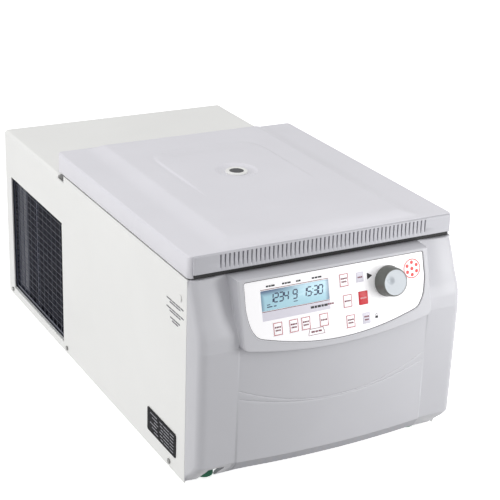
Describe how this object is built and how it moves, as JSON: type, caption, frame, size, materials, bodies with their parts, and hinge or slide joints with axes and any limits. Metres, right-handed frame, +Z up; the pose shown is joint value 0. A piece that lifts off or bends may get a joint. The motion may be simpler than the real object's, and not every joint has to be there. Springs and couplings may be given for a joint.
{
  "type": "laboratory centrifuge",
  "caption": "Refrigerated bench-top laboratory centrifuge with a hinged lid, angle rotor in a steel chamber, tilted control panel with selector knob and a rear cooling bay.",
  "frame": {"origin": "on the floor, under the middle of the machine's bounding box", "axes": "+Z up, the control panel faces -Y, width along X"},
  "size_m": [0.4132, 0.7834, 0.345],
  "materials": {
    "white_metal": "fine-textured white powder coat",
    "lid_plastic": "pale grey-white moulded plastic with a fine spark-eroded grain",
    "fascia_plastic": "light grey moulded plastic with a fine grain",
    "dark_plastic": "near-black moulded plastic",
    "knob_plastic": "mid-grey plastic",
    "key_plastic": "white polyester film",
    "stop_plastic": "red polyester film",
    "steel": "stainless or zinc-plated steel",
    "aluminium": "machined and anodised",
    "copper": "bare copper tube",
    "rubber": "black elastomer",
    "green_rubber": "green elastomer",
    "black_paint": "semi-gloss black enamel",
    "foam": "rigid polyurethane foam",
    "circuit_board": "green solder mask",
    "dark_glass": "dark clear polycarbonate",
    "lcd": "backlit display behind clear film"
  },
  "bodies": {
    "cabinet": {"housing_wrap": "white_metal", "rear_panel": "white_metal", "front_fascia": "fascia_plastic", "chamber_deck": "fascia_plastic", "condenser_grille": "dark_plastic", "rating_plate": "dark_plastic", "fan_shroud": "dark_plastic", "mains_module": "dark_plastic", "latch_housing": "dark_plastic", "control_overlay": "key_plastic", "base_pan": "steel", "chamber_bowl": "steel", "guard_ring": "steel", "motor_mount": "steel", "hinge_ear_left": "steel", "hinge_ear_right": "steel", "side_screw_left_front": "steel", "side_screw_left_middle": "steel", "side_screw_left_rear": "steel", "side_screw_right_front": "steel", "side_screw_right_middle": "steel", "side_screw_right_rear": "steel", "motor_housing": "aluminium", "condenser_coil": "aluminium", "evaporator_coil": "copper", "chamber_gasket": "rubber", "foot_rear_left": "rubber", "foot_rear_right": "rubber", "foot_front_left": "green_rubber", "foot_front_right": "green_rubber", "compressor": "black_paint", "insulation_cup": "foam", "control_board": "circuit_board", "power_board": "circuit_board", "lcd_window": "lcd"},
    "lid": {"lid_cover": "lid_plastic", "lid_window": "dark_glass", "lid_front_strip": "lid_plastic", "lid_inner_plate": "steel", "lid_striker": "steel", "lid_hinge_frame": "steel", "hinge_rod": "steel"},
    "rotor_drive": {"drive_shaft": "steel", "rotor": "aluminium"},
    "rotor_cover": {"rotor_lid": "knob_plastic"},
    "condenser_fan": {"fan_impeller": "dark_plastic"},
    "selector_knob": {"control_knob": "knob_plastic"},
    "mains_switch": {"mains_rocker": "dark_plastic"},
    "lid_latch": {"latch_hook": "steel"},
    "release_cap": {"release_plug": "key_plastic"},
    "button_program": {"key_program": "key_plastic"},
    "button_rotor": {"key_rotor": "key_plastic"},
    "button_accel": {"key_accel": "key_plastic"},
    "button_time": {"key_time": "key_plastic"},
    "button_mode": {"key_mode": "key_plastic"},
    "button_speed": {"key_speed": "key_plastic"},
    "button_quick": {"key_quick": "key_plastic"},
    "button_start": {"key_start": "key_plastic"},
    "button_stop": {"key_stop": "stop_plastic"},
    "button_lid": {"key_lid": "key_plastic"}
  },
  "joints": [
    {"name": "lid_hinge", "type": "hinge", "parent": "cabinet", "child": "lid", "pos_m": [0, 0.1229, 0.313], "axis": [-1, 0, 0], "range_deg": [0, 80]},
    {"name": "rotor_spin", "type": "hinge", "parent": "cabinet", "child": "rotor_drive", "pos_m": [0, -0.0691, 0.133], "axis": [0, 0, 1], "continuous": true},
    {"name": "rotor_cover_lift", "type": "slide", "parent": "rotor_drive", "child": "rotor_cover", "axis": [0, 0, 1], "range_m": [0, 0.055]},
    {"name": "condenser_fan_spin", "type": "hinge", "parent": "cabinet", "child": "condenser_fan", "pos_m": [-0.159, 0.2429, 0.119], "axis": [1, 0, 0], "continuous": true},
    {"name": "selector_turn", "type": "hinge", "parent": "cabinet", "child": "selector_knob", "pos_m": [0.0795, -0.36498, 0.26858], "axis": [0, -0.9683, 0.2499], "continuous": true},
    {"name": "mains_rock", "type": "hinge", "parent": "cabinet", "child": "mains_switch", "pos_m": [0.154, 0.3859, 0.073], "axis": [1, 0, 0], "range_deg": [0, 16]},
    {"name": "latch_swing", "type": "hinge", "parent": "cabinet", "child": "lid_latch", "pos_m": [0, -0.2691, 0.265], "axis": [1, 0, 0], "range_deg": [0, 22]},
    {"name": "release_pull", "type": "slide", "parent": "cabinet", "child": "release_cap", "axis": [-1, 0, 0], "range_m": [0, 0.02]},
    {"name": "press_program", "type": "slide", "parent": "cabinet", "child": "button_program", "axis": [0, 0.9683, -0.2499], "range_m": [0, 0.0008], "stiffness_N_per_m": 600},
    {"name": "press_rotor", "type": "slide", "parent": "cabinet", "child": "button_rotor", "axis": [0, 0.9683, -0.2499], "range_m": [0, 0.0008], "stiffness_N_per_m": 600},
    {"name": "press_accel", "type": "slide", "parent": "cabinet", "child": "button_accel", "axis": [0, 0.9683, -0.2499], "range_m": [0, 0.0008], "stiffness_N_per_m": 600},
    {"name": "press_time", "type": "slide", "parent": "cabinet", "child": "button_time", "axis": [0, 0.9683, -0.2499], "range_m": [0, 0.0008], "stiffness_N_per_m": 600},
    {"name": "press_mode", "type": "slide", "parent": "cabinet", "child": "button_mode", "axis": [0, 0.9683, -0.2499], "range_m": [0, 0.0008], "stiffness_N_per_m": 600},
    {"name": "press_speed", "type": "slide", "parent": "cabinet", "child": "button_speed", "axis": [0, 0.9683, -0.2499], "range_m": [0, 0.0008], "stiffness_N_per_m": 600},
    {"name": "press_quick", "type": "slide", "parent": "cabinet", "child": "button_quick", "axis": [0, 0.9683, -0.2499], "range_m": [0, 0.0008], "stiffness_N_per_m": 600},
    {"name": "press_start", "type": "slide", "parent": "cabinet", "child": "button_start", "axis": [0, 0.9683, -0.2499], "range_m": [0, 0.0008], "stiffness_N_per_m": 600},
    {"name": "press_stop", "type": "slide", "parent": "cabinet", "child": "button_stop", "axis": [0, 0.9683, -0.2499], "range_m": [0, 0.0008], "stiffness_N_per_m": 600},
    {"name": "press_lid", "type": "slide", "parent": "cabinet", "child": "button_lid", "axis": [0, 0.9683, -0.2499], "range_m": [0, 0.0008], "stiffness_N_per_m": 600}
  ]
}
